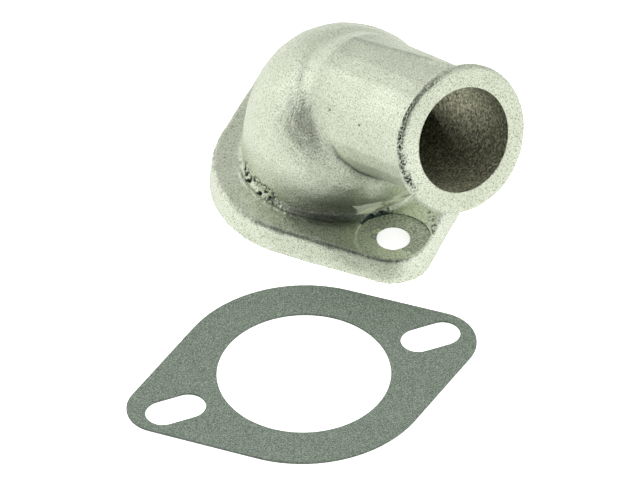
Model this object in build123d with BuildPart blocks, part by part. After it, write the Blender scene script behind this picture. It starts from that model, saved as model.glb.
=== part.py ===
"""Cast coolant outlet elbow with its flange gasket, in millimetres.

The casting stands on its machined flange face, which is the plane Z = 0. The origin is the
centre of the coolant opening in that face, +Z points up through the dome, and the two bolt
holes lie along Y. The hose neck leaves the dome on the -Y side, turned a little toward +X.
The gasket lies flat beside the casting, taken off, with its slots along X.
"""

import os
from math import asin, atan2, cos, degrees, hypot, radians, sin, tan

from build123d import *

# Flange
bolt_spacing = 85.7
bolt_hole_diameter = 10.3
flange_thickness = 8.9
flange_body_radius = 41.5
flange_body_spread = 4.0
flange_body_shift = 1.2
front_ear_radius = 12.1
front_ear_reach = 42.1
back_ear_radius = 10.5
back_ear_reach = 41.6
flange_draft = 7.0
flange_edge_round = 1.5

# Machining around the bolt hole under the neck
spot_face_radius = 11.5
spot_face_depth = 0.2
milled_flat_offset = 28.8
milled_flat_turn = 7.0
milled_flat_bottom = 1.2
milled_flat_height = 4.0

# Dome: a wide tube that leans toward the neck, closed by a hemisphere
dome_radius = 30.2
dome_wall = 4.6
dome_straight = 2.2
dome_lean_radius = 31.5
dome_lean_angle = 26.0
dome_foot_round = 2.0

# Hose neck: its axis crosses the dome's upright axis and rises toward the mouth
neck_turn = 14.0
neck_rise = 19.9
neck_axis_height = 34.8
neck_reach = 67.0
neck_root = 14.0
neck_draft = 1.0
neck_mouth_radius = 19.9
neck_wall = 3.7
neck_valley_round = 4.5
bore_land = 8.0

# Parting ridge left by the mould on the neck's upper side
ridge_radius = 2.0
ridge_root_angle = 3.0
ridge_root_height = 0.35
ridge_mouth_angle = 22.0
ridge_mouth_height = 1.4

# Hose bead around the mouth
bead_radius = 23.0
bead_land = 2.6
bead_width = 5.2
bead_front_round = 1.8
bead_back_round = 1.2
bead_root_round = 1.5

# Gasket
gasket_thickness = 0.8
gasket_bore_radius = 26.2
gasket_body_radius = 39.2
gasket_outline_turn = -3.2
gasket_slot_spacing = 82.55
gasket_slot_width = 10.8
gasket_slot_length = 18.7
gasket_left_ear_radius = 10.5
gasket_left_ear_past_slot = 3.625
gasket_left_ear_reach = gasket_slot_spacing / 2 + gasket_left_ear_past_slot
gasket_right_ear_radius = 13.2
gasket_right_ear_past_slot = -0.075
gasket_right_ear_reach = gasket_slot_spacing / 2 + gasket_right_ear_past_slot
gasket_position = (-44.7, -80.0)

# Directions: level along the neck, level across it, and up along the neck's own axis
up = Vector(0, 0, 1)
along_neck = Vector(sin(radians(neck_turn)), -cos(radians(neck_turn)), 0)
across_neck = Vector(cos(radians(neck_turn)), sin(radians(neck_turn)), 0)
neck_direction = along_neck * cos(radians(neck_rise)) + up * sin(radians(neck_rise))
neck_top = across_neck.cross(neck_direction) * -1
neck_origin = up * neck_axis_height
neck_axis = Axis(neck_origin, neck_direction)

# Half profiles of the neck are drawn with X across it and Y along its axis.
neck_profile_plane = Plane(
    origin=neck_origin,
    x_dir=across_neck,
    z_dir=across_neck.cross(neck_direction),
)

# The dome's tube turns about a level line across the neck, up to the crown's centre.
dome_lean_height = flange_thickness + dome_straight
lean_centre = along_neck * dome_lean_radius + up * dome_lean_height
lean_axis = Axis(lean_centre, across_neck)
crown_direction = along_neck * sin(radians(dome_lean_angle)) + up * cos(radians(dome_lean_angle))
crown_centre = (
    lean_centre
    + up * dome_lean_radius * sin(radians(dome_lean_angle))
    - along_neck * dome_lean_radius * cos(radians(dome_lean_angle))
)
crown_axis = Axis(crown_centre, crown_direction)
crown_profile_plane = Plane(
    origin=crown_centre,
    x_dir=across_neck,
    z_dir=across_neck.cross(crown_direction),
)


def banded_outline(discs):
    """The outline of a band drawn taut around discs, each given as X, Y and radius, anticlockwise."""
    next_discs = discs[1:] + discs[:1]
    normals = []
    for (x, y, radius), (next_x, next_y, next_radius) in zip(discs, next_discs):
        reach = hypot(next_x - x, next_y - y)
        lean = asin((radius - next_radius) / reach)
        normals.append(degrees(atan2(next_y - y, next_x - x) + lean) - 90)
    with BuildSketch() as outline:
        with BuildLine():
            arcs = []
            for (x, y, radius), start, end in zip(discs, normals[-1:] + normals[:-1], normals):
                arcs.append(CenterArc((x, y), radius, start, (end - start) % 360))
            for arc, next_arc in zip(arcs, arcs[1:] + arcs[:1]):
                Line(arc @ 1, next_arc @ 0)
        make_face()
    return outline.sketch


def dome_form(radius):
    """A tube from the flange face that leans toward the neck, with a round crown."""
    with BuildPart() as form:
        with BuildSketch():
            Circle(radius)
        extrude(amount=dome_lean_height)
        with BuildSketch(Plane.XY.offset(dome_lean_height)):
            Circle(radius)
        revolve(axis=lean_axis, revolution_arc=dome_lean_angle)
        with BuildSketch(crown_profile_plane):
            with BuildLine():
                Line((0, 0), (radius, 0))
                RadiusArc((radius, 0), (0, radius), -radius)
                Line((0, radius), (0, 0))
            make_face()
        revolve(axis=crown_axis)
    return form.part


def neck_form(mouth_radius, straight):
    """A drafted barrel along the neck's axis, round at its root and straight at its mouth."""
    straight_from = neck_reach - straight
    root_radius = mouth_radius + (straight_from - neck_root) * tan(radians(neck_draft))
    with BuildPart() as form:
        with BuildSketch(neck_profile_plane):
            with BuildLine():
                Polyline(
                    (0, neck_root - root_radius),
                    (0, neck_reach),
                    (mouth_radius, neck_reach),
                    (mouth_radius, straight_from),
                    (root_radius, neck_root),
                )
                RadiusArc((root_radius, neck_root), (0, neck_root - root_radius), root_radius)
            make_face()
        revolve(axis=neck_axis)
    return form.part


def ridge_point(station, angle, height):
    """The ridge's centre at a distance along the neck and an angle from the neck's top."""
    barrel_radius = neck_mouth_radius + (neck_reach - bead_width - station) * tan(radians(neck_draft))
    side = across_neck * sin(radians(angle)) + neck_top * cos(radians(angle))
    return neck_origin + neck_direction * station + side * (barrel_radius + height - ridge_radius)


with BuildPart() as outlet_casting:
    # Flange plate, drafted from its face up and rounded at its upper edge
    with BuildSketch():
        side_radius = flange_body_radius - flange_body_spread
        flange_discs = [
            (0, -front_ear_reach, front_ear_radius),
            (flange_body_spread, -flange_body_shift, side_radius),
            (0, back_ear_reach, back_ear_radius),
            (-flange_body_spread, -flange_body_shift, side_radius),
        ]
        add(banded_outline(flange_discs))
    extrude(amount=flange_thickness)
    draft(outlet_casting.faces().filter_by(Axis.Z, reverse=True), Plane.XY, flange_draft)
    fillet(outlet_casting.faces().sort_by(Axis.Z)[-1].edges(), flange_edge_round)

    # Dome, rounded where it meets the flange
    add(dome_form(dome_radius))
    foot = outlet_casting.faces().filter_by(Plane.XY).sort_by(Axis.Z)[-1].inner_wires()[0]
    fillet(foot.edges(), dome_foot_round)

    # Neck barrel, blended into the dome by a soft valley
    add(neck_form(neck_mouth_radius, bead_width))
    valley = outlet_casting.edges().filter_by(GeomType.BSPLINE)
    fillet(valley, neck_valley_round)

    # Parting ridge over the neck's upper side, low at the dome and high where it meets the bead
    ridge_root = ridge_point(neck_root, ridge_root_angle, ridge_root_height)
    ridge_mouth = ridge_point(neck_reach - bead_land, ridge_mouth_angle, ridge_mouth_height)
    with BuildSketch(Plane(origin=ridge_mouth, z_dir=ridge_root - ridge_mouth)):
        Circle(ridge_radius)
    extrude(amount=(ridge_root - ridge_mouth).length)
    with Locations(ridge_root):
        Sphere(ridge_radius)

    # Hose bead, turned up around the mouth
    with BuildSketch(neck_profile_plane) as bead_profile:
        with BuildLine():
            Polyline(
                (neck_mouth_radius - neck_wall / 2, neck_reach - bead_width - bead_root_round),
                (neck_mouth_radius - neck_wall / 2, neck_reach),
                (bead_radius, neck_reach),
                (bead_radius, neck_reach - bead_land),
                (neck_mouth_radius, neck_reach - bead_width),
                (neck_mouth_radius, neck_reach - bead_width - bead_root_round),
                close=True,
            )
        make_face()
        for corner, rounding in (
            ((bead_radius, neck_reach), bead_front_round),
            ((bead_radius, neck_reach - bead_land), bead_back_round),
            ((neck_mouth_radius, neck_reach - bead_width), bead_root_round),
        ):
            fillet(bead_profile.vertices().sort_by_distance(corner)[0], rounding)
    revolve(axis=neck_axis)

    # Coolant chamber and the cored passage to the mouth
    add(dome_form(dome_radius - dome_wall), mode=Mode.SUBTRACT)
    add(neck_form(neck_mouth_radius - neck_wall, bore_land), mode=Mode.SUBTRACT)

    # Bolt holes
    with GridLocations(0, bolt_spacing, 1, 2):
        Cylinder(bolt_hole_diameter / 2, 2 * flange_thickness, mode=Mode.SUBTRACT)

    # Spot face around the bolt hole under the neck, clear up to the neck
    with BuildSketch(Plane.XY.offset(flange_thickness - spot_face_depth)):
        with Locations((0, -bolt_spacing / 2)):
            Circle(spot_face_radius)
    extrude(amount=spot_face_depth + milled_flat_bottom + milled_flat_height, mode=Mode.SUBTRACT)

    # Flat that the milling cutter left on the dome's wall beside that hole
    milled_flat_plane = Plane.XY.rotated((0, 0, milled_flat_turn)).offset(
        flange_thickness + milled_flat_bottom
    )
    with BuildSketch(milled_flat_plane):
        with Locations((0, -milled_flat_offset)):
            Rectangle(2 * dome_radius, dome_radius, align=(Align.CENTER, Align.MAX))
    extrude(amount=milled_flat_height, mode=Mode.SUBTRACT)

with BuildPart() as flange_gasket:
    # Paper gasket: round bore, and a slot for each bolt
    with BuildSketch(Plane((*gasket_position, 0))):
        gasket_discs = [
            (0, 0, gasket_body_radius),
            (-gasket_left_ear_reach, 0, gasket_left_ear_radius),
            (0, 0, gasket_body_radius),
            (gasket_right_ear_reach, 0, gasket_right_ear_radius),
        ]
        add(banded_outline(gasket_discs), rotation=gasket_outline_turn)
        Circle(gasket_bore_radius, mode=Mode.SUBTRACT)
        with GridLocations(gasket_slot_spacing, 0, 2, 1):
            SlotOverall(gasket_slot_length, gasket_slot_width, mode=Mode.SUBTRACT)
    extrude(amount=gasket_thickness)

os.makedirs("parts", exist_ok=True)
outlet_casting.part.label = "outlet_casting"
export_step(outlet_casting.part, "parts/outlet_casting.step")
flange_gasket.part.label = "flange_gasket"
export_step(flange_gasket.part, "parts/flange_gasket.step")
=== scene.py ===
import math
import bpy
from mathutils import Matrix, Quaternion, Vector, noise


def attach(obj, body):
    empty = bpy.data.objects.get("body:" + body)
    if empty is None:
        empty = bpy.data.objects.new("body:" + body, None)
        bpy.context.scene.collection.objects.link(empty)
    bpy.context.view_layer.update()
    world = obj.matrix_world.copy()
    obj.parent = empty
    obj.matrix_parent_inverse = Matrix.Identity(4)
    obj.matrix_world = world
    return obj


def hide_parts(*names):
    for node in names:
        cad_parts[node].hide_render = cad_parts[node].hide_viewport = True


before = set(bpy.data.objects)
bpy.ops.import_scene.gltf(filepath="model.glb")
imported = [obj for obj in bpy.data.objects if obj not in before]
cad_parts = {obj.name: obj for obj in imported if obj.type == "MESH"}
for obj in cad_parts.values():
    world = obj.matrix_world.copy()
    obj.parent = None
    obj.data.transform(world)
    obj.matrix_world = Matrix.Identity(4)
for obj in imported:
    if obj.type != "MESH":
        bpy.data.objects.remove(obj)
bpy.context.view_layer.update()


def mm(*values):
    """Millimetres to Blender's metres, as one length or as a point."""
    if len(values) == 1:
        return values[0] / 1000
    return Vector(value / 1000 for value in values)


def select_only(piece):
    """Leaves one object selected and active."""
    bpy.ops.object.select_all(action="DESELECT")
    piece.select_set(True)
    bpy.context.view_layer.objects.active = piece


def copy_of(cad_node, name):
    """A merged copy of a CAD node, to be shaped further."""
    select_only(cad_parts[cad_node])
    bpy.ops.object.duplicate()
    piece = bpy.context.view_layer.objects.active
    piece.name = name
    bpy.ops.object.mode_set(mode="EDIT")
    bpy.ops.mesh.select_all(action="SELECT")
    bpy.ops.mesh.remove_doubles(threshold=mm(0.002))
    bpy.ops.object.mode_set(mode="OBJECT")
    return piece


def finish_modifier(piece, kind, **settings):
    """Adds a modifier and applies it."""
    modifier = piece.modifiers.new(kind.lower(), kind)
    for name, value in settings.items():
        setattr(modifier, name, value)
    select_only(piece)
    bpy.ops.object.modifier_apply(modifier=modifier.name)


# Sizes that the solids have, in millimetres, with the dome's lean in degrees
flange_thickness = 8.9
bolt_reach = 42.85
bolt_hole_radius = 5.15
spot_face_radius = 11.5
spot_face_depth = 0.2
dome_radius = 30.2
dome_wall = 4.6
dome_lean_height = 11.1
dome_lean_radius = 31.5
dome_lean_angle = 26.0
neck_height = 34.8
neck_turn = math.radians(14.0)
neck_rise = math.radians(19.9)
neck_root = 14.0
neck_reach = 67.0
barrel_radius = 20.4
bead_radius = 23.0
bore_radius = 16.2
bore_land = 8.0

# Directions: level along the neck, level across it, along its rising axis, and to its top side
neck_start = mm(0, 0, neck_height)
along_neck = Vector((math.sin(neck_turn), -math.cos(neck_turn), 0))
across_neck = Vector((math.cos(neck_turn), math.sin(neck_turn), 0))
neck_direction = along_neck * math.cos(neck_rise) + Vector((0, 0, math.sin(neck_rise)))
neck_top = neck_direction.cross(across_neck)

# The dome's tube leans over up to the centre of its round crown.
leaning = math.radians(dome_lean_angle)
crown_centre = along_neck * dome_lean_radius * (1 - math.cos(leaning))
crown_centre.z = dome_lean_height + dome_lean_radius * math.sin(leaning)


def cylinder(radius, length, middle, direction=Vector((0, 0, 1))):
    """A closed cylinder, its radius and length in millimetres, around a point along a direction."""
    bpy.ops.object.select_all(action="DESELECT")
    bpy.ops.mesh.primitive_cylinder_add(
        vertices=96,
        radius=mm(radius),
        depth=mm(length),
        location=middle,
        rotation=direction.to_track_quat("Z", "Y").to_euler(),
    )
    return bpy.context.object


# Holes and mouth are plugged while the skin is made, and cut again afterwards.
casting = copy_of("outlet_casting", "outlet_casting_skin")
plug_radius = bolt_hole_radius + 0.5
front_plug_length = flange_thickness - spot_face_depth
mouth_plug_radius = bore_radius + 1.2
mouth_plug_middle = neck_start + neck_direction * mm(neck_reach - bore_land / 2)
plugs = [
    cylinder(plug_radius, front_plug_length, mm(0, -bolt_reach, front_plug_length / 2)),
    cylinder(plug_radius, flange_thickness, mm(0, bolt_reach, flange_thickness / 2)),
    cylinder(mouth_plug_radius, bore_land, mouth_plug_middle, neck_direction),
]
select_only(casting)
for plug in plugs:
    plug.select_set(True)
bpy.ops.object.join()

# The skin is an even mesh that is drawn back onto the plugged solid.
bpy.ops.object.duplicate()
plugged = bpy.context.view_layer.objects.active
finish_modifier(casting, "REMESH", mode="VOXEL", voxel_size=mm(0.8), use_smooth_shade=True)
finish_modifier(casting, "SHRINKWRAP", target=plugged, wrap_method="NEAREST_SURFACEPOINT")
bpy.data.objects.remove(plugged)


def neck_place(point):
    """Distance along the neck, distance off its axis, and degrees round it from its top."""
    offset = (point - neck_start) * 1000
    reach = offset.dot(neck_direction)
    off = offset - neck_direction * reach
    return reach, off.length, math.degrees(math.atan2(off.dot(across_neck), off.dot(neck_top)))


def dome_place(point):
    """Degrees round the dome from +X, distance off its upright axis, and height."""
    around = math.degrees(math.atan2(point.y, point.x)) % 360
    return around, math.hypot(point.x, point.y) * 1000, point.z * 1000


def dome_off(point):
    """Distance from the dome's skin, which is a leaning tube and a ball. It is negative inside."""
    out = (point * 1000).dot(along_neck) - dome_lean_radius
    high = point.z * 1000 - dome_lean_height
    beside = (point * 1000).dot(across_neck)
    if high < 0:
        return math.hypot(out + dome_lean_radius, beside) - dome_radius
    if math.degrees(math.atan2(high, -out)) < dome_lean_angle:
        return math.hypot(math.hypot(out, high) - dome_lean_radius, beside) - dome_radius
    return (point * 1000 - crown_centre).length - dome_radius


def line_off(point, corners):
    """Distance from a point to a line through corners, in millimetres."""
    here = point * 1000
    nearest = math.inf
    for start, end in zip(corners, corners[1:]):
        run = end - start
        share = min(max((here - start).dot(run) / run.length_squared, 0), 1)
        nearest = min(nearest, (here - start - run * share).length)
    return nearest


def ragged(point, size):
    """A noise from about -1 to 1, its lumps about a size in millimetres."""
    return noise.noise(point * 1000 / size)


def share_past(value, start, width):
    """0 before a start, rising to 1 over a width. With a negative width it falls to 0 there."""
    return min(max((value - start) / width, 0), 1)


def dip(distance, half_width):
    """1 on a line and 0 past a half width, with soft sides."""
    share = min(distance / half_width, 1)
    return (1 - share * share) ** 2


def crumbs(point, size, least):
    """Where crumbs of sand stuck to the mould, from 0 to 1. A higher least value leaves fewer."""
    return share_past(3 * ragged(point, size) + 1.5 * ragged(point, 0.6), least, 1)


# Lines and pits in the skin, in millimetres
neck_crease_line = [
    Vector((-13.4, -28.0, 38.0)),
    Vector((-12.2, -29.4, 35.0)),
    Vector((-9.0, -31.9, 31.7)),
    Vector((-4.0, -33.3, 27.3)),
    Vector((-1.1, -33.5, 25.5)),
]
torn_edge_line = [
    Vector((-5.5, -32.6, 9.0)),
    Vector((-2.5, -31.6, 9.2)),
    Vector((3.2, -31.6, 9.2)),
]
flange_burr_line = [
    Vector((13.0, -44.6, 8.7)),
    Vector((15.2, -36.4, 8.7)),
]
skin_pits = [
    (Vector((-13.3, -25.0, 50.6)), 0.6),
    (Vector((-9.9, -39.6, 54.8)), 0.7),
]

# Depths, heights and half widths of the flaws, in millimetres
seam_depth = 0.75
seam_reach = 66.0
crease_depth = 0.22
crease_half_width = 1.5
foot_crumb_depth = 0.75
foot_crumb_top = 14.0
torn_edge_depth = 0.6
torn_edge_half_width = 1.6
burr_depth = 0.7
burr_half_width = 1.5
pit_depth = 0.5
foot_line_height = 0.35
foot_line_radius = 32.4
foot_line_half_width = 0.9

# How dark each painted shade, patch and speck is, from 0 to 1, and the painted shade of a scar for
# each millimetre of its depth
scar_shade_darkness = 1.3
crease_shade_darkness = 0.12
foot_shade_darkness = 0.6
dome_front_shade_darkness = 0.17
valley_shade_darkness = 0.4
flange_shade_darkness = 0.03
flange_patch_darkness = 0.12
flange_edge_darkness = 0.4


def bead_seam(point):
    """Depth of the grainy seam round the bead's left side, widest at 80 degrees from its top."""
    reach, off, angle = neck_place(point)
    if not (off > 20.6 and reach > 63.5 and -116 < angle < -4):
        return 0.0
    middle = seam_reach + 0.9 * ((angle + 58) / 50) ** 2 + 0.25 * ragged(point, 2.0)
    half_width = 0.45 + 0.75 * math.exp(-((angle + 80) / 20) ** 2) + 0.3 * ragged(point, 1.2)
    ends = share_past(angle, -4, -35) * share_past(angle, -116, 12)
    grain = max(0.45 + 1.1 * ragged(point, 0.7), 0)
    return seam_depth * grain * ends * dip(abs(reach - middle), max(half_width, 0.2))


def neck_crease(point):
    """Depth of the shallow crease between the dome and the neck's lower side."""
    if not (point.y < mm(-24) and mm(22) < point.z < mm(42) and point.x < mm(3)):
        return 0.0
    away = line_off(point, neck_crease_line) + 0.4 * ragged(point, 1.5)
    return crease_depth * dip(away, crease_half_width)


def foot_crumbs(point):
    """Depth of the crumbly holes at the left of the dome's foot."""
    around, off, high = dome_place(point)
    if not (8.8 < high < 17 and point.y < mm(12)):
        return 0.0
    ends = share_past(around, 163, 6) * share_past(around, 212, -12)
    top = share_past(high, foot_crumb_top + 1.6 * ragged(point, 4.0), -1.5)
    dome_side = share_past(off, 31.9, -0.8)
    return foot_crumb_depth * ends * top * dome_side * crumbs(point, 1.5, 0.3)


def torn_edge(point):
    """Depth of the torn edge between the dome's foot and the spot face."""
    if not (mm(8.8) < point.z < mm(17) and point.x > mm(-8) and point.y < mm(-28)):
        return 0.0
    away = line_off(point, torn_edge_line) + 0.8 * ragged(point, 1.1)
    return torn_edge_depth * dip(max(away, 0), torn_edge_half_width)


def flange_burr(point):
    """Depth of the crumbly burr at the flange's edge beside the spot face."""
    if not (mm(7) < point.z and point.x > mm(10) and point.y < mm(-33)):
        return 0.0
    away = line_off(point, flange_burr_line)
    return burr_depth * crumbs(point, 1.3, 0.0) * dip(away, burr_half_width)


def neck_pits(point):
    """Depth of the round pits on the dome and the neck."""
    return sum(pit_depth * dip((point * 1000 - place).length, size) for place, size in skin_pits)


def scar_depth(point):
    """How deep the casting's flaws go at a point of its skin, in millimetres."""
    flaws = (bead_seam, neck_crease, foot_crumbs, torn_edge, flange_burr, neck_pits)
    return sum(flaw(point) for flaw in flaws)


def foot_line(point):
    """How high the ragged line stands that runs along the dome's foot, in millimetres."""
    around, off, high = dome_place(point)
    if not 8.3 < high < 11.5:
        return 0.0
    ends = share_past(around, 160, 15) * share_past(around, 262, -40)
    away = abs(off - foot_line_radius + 0.4 * ragged(point, 2.5))
    height = foot_line_height * (0.8 + 0.6 * ragged(point, 1.1))
    return height * ends * dip(away, foot_line_half_width)


def foot_painted_shade(point):
    """The darkest painted shade, in the corner between the flange and the front of the dome."""
    around, off, high = dome_place(point)
    if not 8 < high < 14:
        return 0.0
    ends = share_past(around, 205, 30) * share_past(around, 290, -20)
    away = off - 31.5 + 0.8 * ragged(point, 1.5)
    from_corner = math.hypot(away, max(high - flange_thickness, 0))
    return foot_shade_darkness * ends * dip(from_corner, 4.2)


def dome_front_painted_shade(point):
    """Weak painted shade over the lower front of the dome, which fades out 30 mm high."""
    around, _, high = dome_place(point)
    if not (9.6 < high < 30 and point.y < 0):
        return 0.0
    ends = share_past(around, 208, 30) * share_past(around, 285, -15)
    return dome_front_shade_darkness * ends * share_past(high, 30, -14)


def crease_painted_shade(point):
    """Weak painted shade to both sides of the crease under the neck."""
    if not (mm(14) < point.z < mm(44) and point.y < mm(-20) and point.x < mm(8)):
        return 0.0
    return crease_shade_darkness * dip(line_off(point, neck_crease_line), 4.0)


def valley_painted_shade(point):
    """Painted shade in the valley, where the skin stands off both the dome and the barrel."""
    reach, off, _ = neck_place(point)
    hollow = min(dome_off(point), off - barrel_radius)
    if not (point.z > mm(14) and 14 < reach < 50 and hollow > 0):
        return 0.0
    return valley_shade_darkness * min(hollow / 0.9, 1)


def flange_patches_and_shade(point, normal):
    """Random patches and a slight painted shade on the front of the flange's upper face, weaker on
    the spot face.
    """
    around, _, high = dome_place(point)
    if not (8.5 < high < 9.3 and normal.z > 0.9):
        return 0.0
    around += 6 * ragged(point, 6.0)
    ends = share_past(around, 205, 40) * share_past(around, 275, -14)
    to_hole = math.hypot(point.x * 1000, point.y * 1000 + bolt_reach)
    weight = 0.6 if to_hole < spot_face_radius - 2 else 1.0
    dark = flange_shade_darkness + flange_patch_darkness * ragged(point, 1.2)
    return ends * dark * weight


def flange_edge_stain(point, normal):
    """Specks along the rounded upper edge of the flange."""
    if not (mm(7) < point.z < mm(9) and 0.25 < normal.z < 0.93):
        return 0.0
    return flange_edge_darkness * share_past(3 * ragged(point, 0.9), 0, 1)


def shade_and_specks_at(point, normal, scar):
    """How dark a point is painted, from 0 to 1: painted shade in scars by their depth, in creases,
    the valley and round the dome's foot and front, with patches and specks on the flange.
    """
    dark = scar_shade_darkness * scar
    dark += crease_painted_shade(point)
    dark += foot_painted_shade(point)
    dark += dome_front_painted_shade(point)
    dark += valley_painted_shade(point)
    dark += flange_patches_and_shade(point, normal)
    dark += flange_edge_stain(point, normal)
    return min(dark, 1)


def select_faces(near_scar):
    """Selects the faces that have a point near a scar."""
    for polygon in casting.data.polygons:
        polygon.select = any(near_scar[i] for i in polygon.vertices)


# The skin is divided twice where a scar or the foot's line runs, so that it has enough points.
# The change to face mode drops part of the selection, so it is made before and after.
least_scar = 0.03
least_lump = 0.05
select_only(casting)
for _ in range(2):
    near_scar = []
    for vertex in casting.data.vertices:
        is_near = scar_depth(vertex.co) > least_scar or foot_line(vertex.co) > least_lump
        near_scar.append(is_near)
    select_faces(near_scar)
    bpy.ops.object.mode_set(mode="EDIT")
    bpy.ops.mesh.select_mode(type="FACE")
    bpy.ops.object.mode_set(mode="OBJECT")
    select_faces(near_scar)
    bpy.ops.object.mode_set(mode="EDIT")
    bpy.ops.mesh.subdivide(number_cuts=1)
    bpy.ops.object.mode_set(mode="OBJECT")


def is_cast(point, normal):
    """False on the flange face and the mouth's face, which are flat."""
    if point.z < mm(0.3) and normal.z < -0.5:
        return False
    reach, off, _ = neck_place(point)
    return not (reach > neck_reach - 0.1 and off < bead_radius + 1)


# Waves, scars and lumps are real relief, each led by a vertex group. Painted shade, with the
# flange's patches and specks, is an attribute that the material reads. Sizes and heights are in
# millimetres.
wave_sizes = (("sand_waves", 8.0, 0.30), ("sand_lumps", 2.6, 0.20))
deepest_scar = 1.5
highest_lump = 1.0
skin = casting.vertex_groups.new(name="as_cast")
scars = casting.vertex_groups.new(name="scars")
lumps = casting.vertex_groups.new(name="lumps")
shade_and_speck_values = []
for vertex in casting.data.vertices:
    depth = scar_depth(vertex.co)
    height = foot_line(vertex.co)
    if is_cast(vertex.co, vertex.normal):
        skin.add([vertex.index], 1.0, "REPLACE")
    if depth > 0:
        scars.add([vertex.index], min(depth / deepest_scar, 1), "REPLACE")
    if height > 0:
        lumps.add([vertex.index], min(height / highest_lump, 1), "REPLACE")
    shade_and_speck_values.append(shade_and_specks_at(vertex.co, vertex.normal, depth))
shade_and_specks = casting.data.attributes.new("shade_and_specks", "FLOAT", "POINT")
shade_and_specks.data.foreach_set("value", shade_and_speck_values)
for name, size, height in wave_sizes:
    clouds = bpy.data.textures.new(name, "CLOUDS")
    clouds.noise_scale = mm(size)
    clouds.noise_depth = 1
    finish_modifier(
        casting,
        "DISPLACE",
        texture=clouds,
        texture_coords="LOCAL",
        vertex_group="as_cast",
        mid_level=0.5,
        strength=mm(height),
    )
finish_modifier(casting, "DISPLACE", vertex_group="scars", mid_level=0, strength=mm(-deepest_scar))
finish_modifier(casting, "DISPLACE", vertex_group="lumps", mid_level=0, strength=mm(highest_lump))


def linear(hex_colour):
    """An sRGB hex colour as the linear values that a shader takes."""
    parts = [int(hex_colour[i:i + 2], 16) / 255 for i in (1, 3, 5)]
    straight = [p / 12.92 if p <= 0.04045 else ((p + 0.055) / 1.055) ** 2.4 for p in parts]
    return (*straight, 1.0)


def node(tree, kind, settings={}, links={}):
    """Adds one shader node, sets its sockets or properties, and links its inputs."""
    made = tree.nodes.new(kind)
    for name, value in settings.items():
        if isinstance(name, int) or name in made.inputs.keys():
            made.inputs[name].default_value = value
        else:
            setattr(made, name, value)
    for name, source in links.items():
        tree.links.new(source, made.inputs[name])
    return made


def new_material(name):
    """An empty node material and its tree."""
    material = bpy.data.materials.new(name)
    material.use_nodes = True
    material.node_tree.nodes.clear()
    return material, material.node_tree


def object_place(tree):
    """The place on the object, in metres."""
    return node(tree, "ShaderNodeTexCoord").outputs["Object"]


def noise_over(tree, place, scale, detail, roughness=0.5):
    """A noise value with a number of lumps to the metre."""
    settings = {"Scale": scale, "Detail": detail, "Roughness": roughness}
    return node(tree, "ShaderNodeTexNoise", settings, {"Vector": place}).outputs["Fac"]


def ramp(tree, source, *stops):
    """A colour ramp over a value, from positions and hex colours."""
    made = node(tree, "ShaderNodeValToRGB", {}, {"Fac": source})
    elements = made.color_ramp.elements
    for stop in stops[2:]:
        elements.new(stop[0])
    for element, (position, hex_colour) in zip(elements, stops):
        element.position = position
        element.color = linear(hex_colour)
    return made.outputs["Color"]


def multiply(tree, first, second):
    """One colour darkened by another."""
    settings = {"data_type": "RGBA", "blend_type": "MULTIPLY", "Factor": 1.0}
    return node(tree, "ShaderNodeMix", settings, {6: first, 7: second}).outputs[2]


def bump(tree, height, strength, distance, **links):
    """A bump over a value, its distance in millimetres, on top of a linked normal if any."""
    settings = {"Strength": strength, "Distance": mm(distance)}
    return node(tree, "ShaderNodeBump", settings, {"Height": height, **links}).outputs["Normal"]


def surface(tree, settings, links={}):
    """Ends a material's tree with a principled shader."""
    shader = node(tree, "ShaderNodeBsdfPrincipled", settings, links)
    node(tree, "ShaderNodeOutputMaterial", {}, {"Surface": shader.outputs["BSDF"]})


# Sand-cast aluminium: a pale, slightly greenish grey skin with a grain of 0.4 mm from the
# mould's sand, which is darker in its pits. Blue-grey painted shade darkens its scars, creases,
# valley and foot, and blue-grey patches and specks mark the flange.
sand_cast, tree = new_material("sand_cast_aluminium")
place = object_place(tree)
blotches = noise_over(tree, place, scale=60.0, detail=3.0)
grain = noise_over(tree, place, scale=2400.0, detail=1.0)
coarse_grain = noise_over(tree, place, scale=1400.0, detail=1.0)
shade_and_specks_share = node(tree, "ShaderNodeAttribute", {"attribute_name": "shade_and_specks"}).outputs["Fac"]
tones = ramp(tree, blotches, (0.3, "#ECF1DF"), (0.7, "#F9FDEE"))
grain_tones = ramp(tree, grain, (0.3, "#B4BAAF"), (0.48, "#F1F4EC"), (0.64, "#FFFFFF"))
# Painted shade and specks from the attribute darken the colour toward blue-grey.
shade_and_speck_tones = ramp(tree, shade_and_specks_share, (0.0, "#FFFFFF"), (1.0, "#424D52"))
colour = multiply(tree, multiply(tree, tones, grain_tones), shade_and_speck_tones)
coarse_normal = bump(tree, coarse_grain, strength=0.7, distance=0.2)
normal = bump(tree, grain, strength=0.6, distance=0.1, Normal=coarse_normal)
surface(tree, {"Metallic": 1.0, "Roughness": 0.46}, {"Base Color": colour, "Normal": normal})

# Cored aluminium: inside the dome and the neck, where the core's sand baked on: an olive tone,
# darkened further as painted shade for the hollow inside.
cored, tree = new_material("cored_aluminium")
grain = noise_over(tree, object_place(tree), scale=1300.0, detail=3.0, roughness=0.7)
colour = ramp(tree, grain, (0.36, "#3E4034"), (0.5, "#7B7D68"), (0.64, "#BEBBA0"))
normal = bump(tree, grain, strength=0.9, distance=0.35)
surface(tree, {"Metallic": 0.4, "Roughness": 0.8}, {"Base Color": colour, "Normal": normal})

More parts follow.
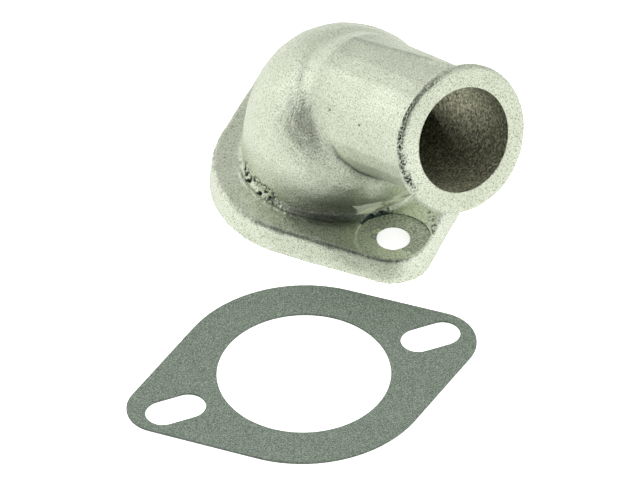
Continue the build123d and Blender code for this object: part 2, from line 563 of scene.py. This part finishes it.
# Machined aluminium: bare, with the faint rings of the cutter round the front bolt hole.
machined, tree = new_material("machined_aluminium")
place = object_place(tree)
marks = noise_over(tree, place, scale=1500.0, detail=2.0)
colour = ramp(tree, marks, (0.35, "#979E90"), (0.5, "#BFC4B9"), (0.64, "#E0E3D9"))
from_bolt = node(tree, "ShaderNodeMapping", {"Location": mm(0, bolt_reach, 0)}, {"Vector": place})
rings = node(
    tree,
    "ShaderNodeTexWave",
    {"wave_type": "RINGS", "rings_direction": "Z", "Scale": 400.0, "Distortion": 2.0},
    {"Vector": from_bolt.outputs["Vector"]},
)
normal = bump(tree, rings.outputs["Fac"], strength=0.3, distance=0.06)
surface(tree, {"Metallic": 1.0, "Roughness": 0.5}, {"Base Color": colour, "Normal": normal})

# Milled aluminium: the flat on the dome's foot, torn bright by the side of the cutter.
milled, tree = new_material("milled_aluminium")
place = object_place(tree)
squashed = node(tree, "ShaderNodeMapping", {"Scale": (1.0, 1.0, 8.0)}, {"Vector": place})
streaks = noise_over(tree, squashed.outputs["Vector"], scale=300.0, detail=2.0)
colour = ramp(tree, streaks, (0.36, "#AEB7A0"), (0.48, "#EEF3DF"), (0.6, "#FBFFF0"))
surface(tree, {"Metallic": 0.7, "Roughness": 0.45}, {"Base Color": colour})

# Drilled aluminium: the walls of the bolt holes, cut bright by the drill.
drilled, tree = new_material("drilled_aluminium")
surface(tree, {"Base Color": linear("#FCFDFA"), "Metallic": 1.0, "Roughness": 0.3})


def is_cored(point):
    """Inside the coolant chamber or the neck's bore."""
    reach, off, _ = neck_place(point)
    if neck_root < reach < neck_reach - 0.2 and off < bore_radius + 1.5:
        return True
    return point.z > mm(0.3) and reach < neck_root and dome_off(point) < -dome_wall / 2


casting.data.materials.clear()
for material in (sand_cast, cored, machined):
    casting.data.materials.append(material)
for polygon in casting.data.polygons:
    if polygon.center.z < mm(0.15) and polygon.normal.z < -0.8:
        polygon.material_index = casting.data.materials.find(machined.name)
    elif is_cored(polygon.center):
        polygon.material_index = casting.data.materials.find(cored.name)


def cut_away(cutter, material):
    """Cuts the casting with a tool's shape, which leaves its material on the cut."""
    cutter.data.materials.append(material)
    finish_modifier(
        casting,
        "BOOLEAN",
        operation="DIFFERENCE",
        object=cutter,
        solver="EXACT",
        material_mode="TRANSFER",
    )
    bpy.data.objects.remove(cutter)


# Bolt holes at their real radius, then the straight land of the mouth. The mouth's cutter goes
# on past both ends of its plug, so that no skin is left across the bore.
drill_length = 20
drill_middle = 5
past_mouth = 1
past_land = 5
mouth_cutter_length = bore_land + past_mouth + past_land
mouth_cutter_middle = neck_reach + past_mouth - mouth_cutter_length / 2
cut_away(cylinder(bolt_hole_radius, drill_length, mm(0, -bolt_reach, drill_middle)), drilled)
cut_away(cylinder(bolt_hole_radius, drill_length, mm(0, bolt_reach, drill_middle)), drilled)
mouth_cutter = cylinder(
    bore_radius,
    mouth_cutter_length,
    neck_start + neck_direction * mm(mouth_cutter_middle),
    neck_direction,
)
cut_away(mouth_cutter, cored)

# The spot face is a little out of square: it cuts into the skin on one side only.
spot_face_tilt = Quaternion((-0.39, 0.92, 0), math.radians(1.0))
spot_face_cut = 0.22
spot_face_floor = mm(0, -bolt_reach, flange_thickness - spot_face_cut)
spot_cutter_length = 5.4
spot_cutter_middle = spot_face_floor + spot_face_tilt @ mm(0, 0, spot_cutter_length / 2)
spot_cutter_direction = spot_face_tilt @ Vector((0, 0, 1))
spot_cutter = cylinder(
    spot_face_radius,
    spot_cutter_length,
    spot_cutter_middle,
    spot_cutter_direction,
)
cut_away(spot_cutter, machined)

# The flat beside it cuts the dome's foot, turned a little off the bolt line's square.
flat_turn = Matrix.Rotation(math.radians(7.0), 4, "Z")
flat_cutter_width = 60
flat_cutter_depth = 30
flat_offset = 28.6
flat_height = 4.0
flat_middle = 12.1
flat_place = Matrix.Translation(mm(0, -flat_offset - flat_cutter_depth / 2, flat_middle))
flat_size = Matrix.Diagonal((*mm(flat_cutter_width, flat_cutter_depth, flat_height), 1))
bpy.ops.object.select_all(action="DESELECT")
bpy.ops.mesh.primitive_cube_add(size=1.0)
flat_cutter = bpy.context.object
flat_cutter.matrix_world = flat_turn @ flat_place @ flat_size
cut_away(flat_cutter, milled)

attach(casting, "root")
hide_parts("outlet_casting")

# Flange gasket: die-cut from compressed fibre paper, grey-green with pale and dark fibres. It
# has been taken off and lies flat in front of the casting. Its cut edges are a little broken.
fibre_paper, tree = new_material("compressed_fibre_paper")
fibres = noise_over(tree, object_place(tree), scale=2800.0, detail=3.0, roughness=0.7)
colour = ramp(tree, fibres, (0.34, "#46514A"), (0.5, "#7E8B7D"), (0.66, "#B2BDAE"))
normal = bump(tree, fibres, strength=0.4, distance=0.1)
surface(tree, {"Roughness": 0.92}, {"Base Color": colour, "Normal": normal})
gasket = copy_of("flange_gasket", "flange_gasket_sheet")
finish_modifier(
    gasket,
    "BEVEL",
    width=mm(0.12),
    segments=2,
    limit_method="ANGLE",
    angle_limit=math.radians(60),
)
gasket.data.materials.clear()
gasket.data.materials.append(fibre_paper)
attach(gasket, "root")
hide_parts("flange_gasket")

# Table: white, and lit softly by the studio. To the camera and in the metal it also glows, so
# that it is as white there as the photograph's ground.
bpy.ops.object.select_all(action="DESELECT")
bpy.ops.mesh.primitive_plane_add(size=6.0, location=(0, 0, mm(-0.05)))
table = bpy.context.object
table.name = "table"
table_whiteness = 0.9
glow_to_camera = 0.95
glow_in_metal = 1.07
table_paint, tree = new_material("white_table")
ray = node(tree, "ShaderNodeLightPath")
seen = ray.outputs["Is Camera Ray"]
mirrored = ray.outputs["Is Glossy Ray"]
matt_share = node(
    tree,
    "ShaderNodeMath",
    {"operation": "SUBTRACT", 0: table_whiteness},
    {1: mirrored},
)
mirrored_glow = node(
    tree,
    "ShaderNodeMath",
    {"operation": "MULTIPLY", 1: glow_in_metal},
    {0: mirrored},
)
glow_share = node(
    tree,
    "ShaderNodeMath",
    {"operation": "MULTIPLY_ADD", 1: glow_to_camera},
    {0: seen, 2: mirrored_glow.outputs[0]},
)
matt = node(tree, "ShaderNodeBsdfDiffuse", {}, {"Color": matt_share.outputs[0]})
glow = node(
    tree,
    "ShaderNodeEmission",
    {"Color": (1, 1, 1, 1)},
    {"Strength": glow_share.outputs[0]},
)
both = node(tree, "ShaderNodeAddShader", {}, {0: matt.outputs[0], 1: glow.outputs[0]})
node(tree, "ShaderNodeOutputMaterial", {}, {"Surface": both.outputs[0]})
table.data.materials.append(table_paint)

# Tent: white to the camera. Its light is dimmer overhead, at the back right and most of all on
# the camera's side, which gives the dome, the flange and the foot their darker tones.
scene = bpy.context.scene
scene.view_settings.view_transform = "Standard"
world = bpy.data.worlds.new("studio")
scene.world = world
world.use_nodes = True
tree = world.node_tree
tree.nodes.clear()
seen = node(tree, "ShaderNodeLightPath").outputs["Is Camera Ray"]
look = node(tree, "ShaderNodeTexCoord").outputs["Generated"]


def dim_toward(direction, start, end, least):
    """1, falling to a least value toward a direction in the room, between two cosines."""
    settings = {"operation": "DOT_PRODUCT", 1: direction}
    nearness = node(tree, "ShaderNodeVectorMath", settings, {0: look}).outputs["Value"]
    limits = {"From Min": start, "From Max": end, "To Min": 1.0, "To Max": least}
    settings = {"interpolation_type": "SMOOTHSTEP", **limits}
    return node(tree, "ShaderNodeMapRange", settings, {"Value": nearness}).outputs[0]


def product(first, second):
    """Two values multiplied."""
    settings = {"operation": "MULTIPLY"}
    return node(tree, "ShaderNodeMath", settings, {0: first, 1: second}).outputs[0]


overhead = dim_toward((0, 0, 1), start=0.3, end=1.0, least=0.6)
camera_side = dim_toward((-0.575, -0.482, 0.66), start=0.3, end=0.78, least=0.05)
back_right = dim_toward((0.7, 0.7, 0), start=0.4, end=0.8, least=0.62)
strength = product(product(overhead, camera_side), back_right)
tent = node(tree, "ShaderNodeBackground", {"Color": (1, 1, 1, 1)}, {"Strength": strength})
white = node(tree, "ShaderNodeBackground", {"Color": (1, 1, 1, 1), "Strength": 1.0})
pick = node(
    tree,
    "ShaderNodeMixShader",
    {},
    {"Fac": seen, 1: tent.outputs[0], 2: white.outputs[0]},
)
node(tree, "ShaderNodeOutputWorld", {}, {"Surface": pick.outputs[0]})


def toward(azimuth, elevation):
    """A direction in the room, in degrees. Azimuth 0 is toward -Y, and 90 toward +X."""
    turn, rise = math.radians(azimuth), math.radians(elevation)
    level = math.cos(rise)
    return Vector((math.sin(turn) * level, -math.cos(turn) * level, math.sin(rise)))


def stand_back(data, aim, back, distance, roll=0.0):
    """Adds a lamp or camera that looks at a point from a direction and a distance in metres."""
    thing = bpy.data.objects.new(data.name, data)
    scene.collection.objects.link(thing)
    thing.location = aim + back * distance
    thing.rotation_mode = "QUATERNION"
    thing.rotation_quaternion = (-back).to_track_quat("-Z", "Y") @ Quaternion((0, 0, 1), roll)
    return thing


def softbox(name, size, power):
    """A square lamp's light, its size in metres."""
    light = bpy.data.lights.new(name, "AREA")
    light.shape = "SQUARE"
    light.size = size
    light.energy = power
    return light


# Lamps: a broad one overhead that only matt surfaces see, a key lamp at the back left, and a
# narrow one that reaches through the mouth to the right wall of the bore.
fill_light = softbox("fill_lamp", size=1.2, power=12.0)
fill_lamp = stand_back(fill_light, mm(0, -30, 0), toward(20.0, 78.0), distance=1.4)
fill_lamp.visible_glossy = False
key_light = softbox("key_lamp", size=0.7, power=1.3)
stand_back(key_light, mm(0, 0, 30), toward(-120.0, 32.0), distance=1.0)
mouth_light = bpy.data.lights.new("mouth_lamp", "SPOT")
mouth_light.energy = 210.0
mouth_light.spot_size = math.radians(1.05)
mouth_light.spot_blend = 1.0
mouth_light.shadow_soft_size = 0.01
stand_back(mouth_light, mm(13.3, -61.6, 57.6), toward(-21.0, 12.0), distance=1.0)

# Camera: a long lens above the front left, as the photograph was taken.
camera_data = bpy.data.cameras.new("camera")
camera_data.lens = 337.5
camera_data.sensor_width = 36.0
camera_data.clip_end = 20.0
view_back = toward(-21.7, 41.5)
view_roll = math.radians(-0.8)
camera = stand_back(camera_data, mm(-17.27, -25.63, 0), view_back, mm(1846.15), view_roll)
scene.camera = camera
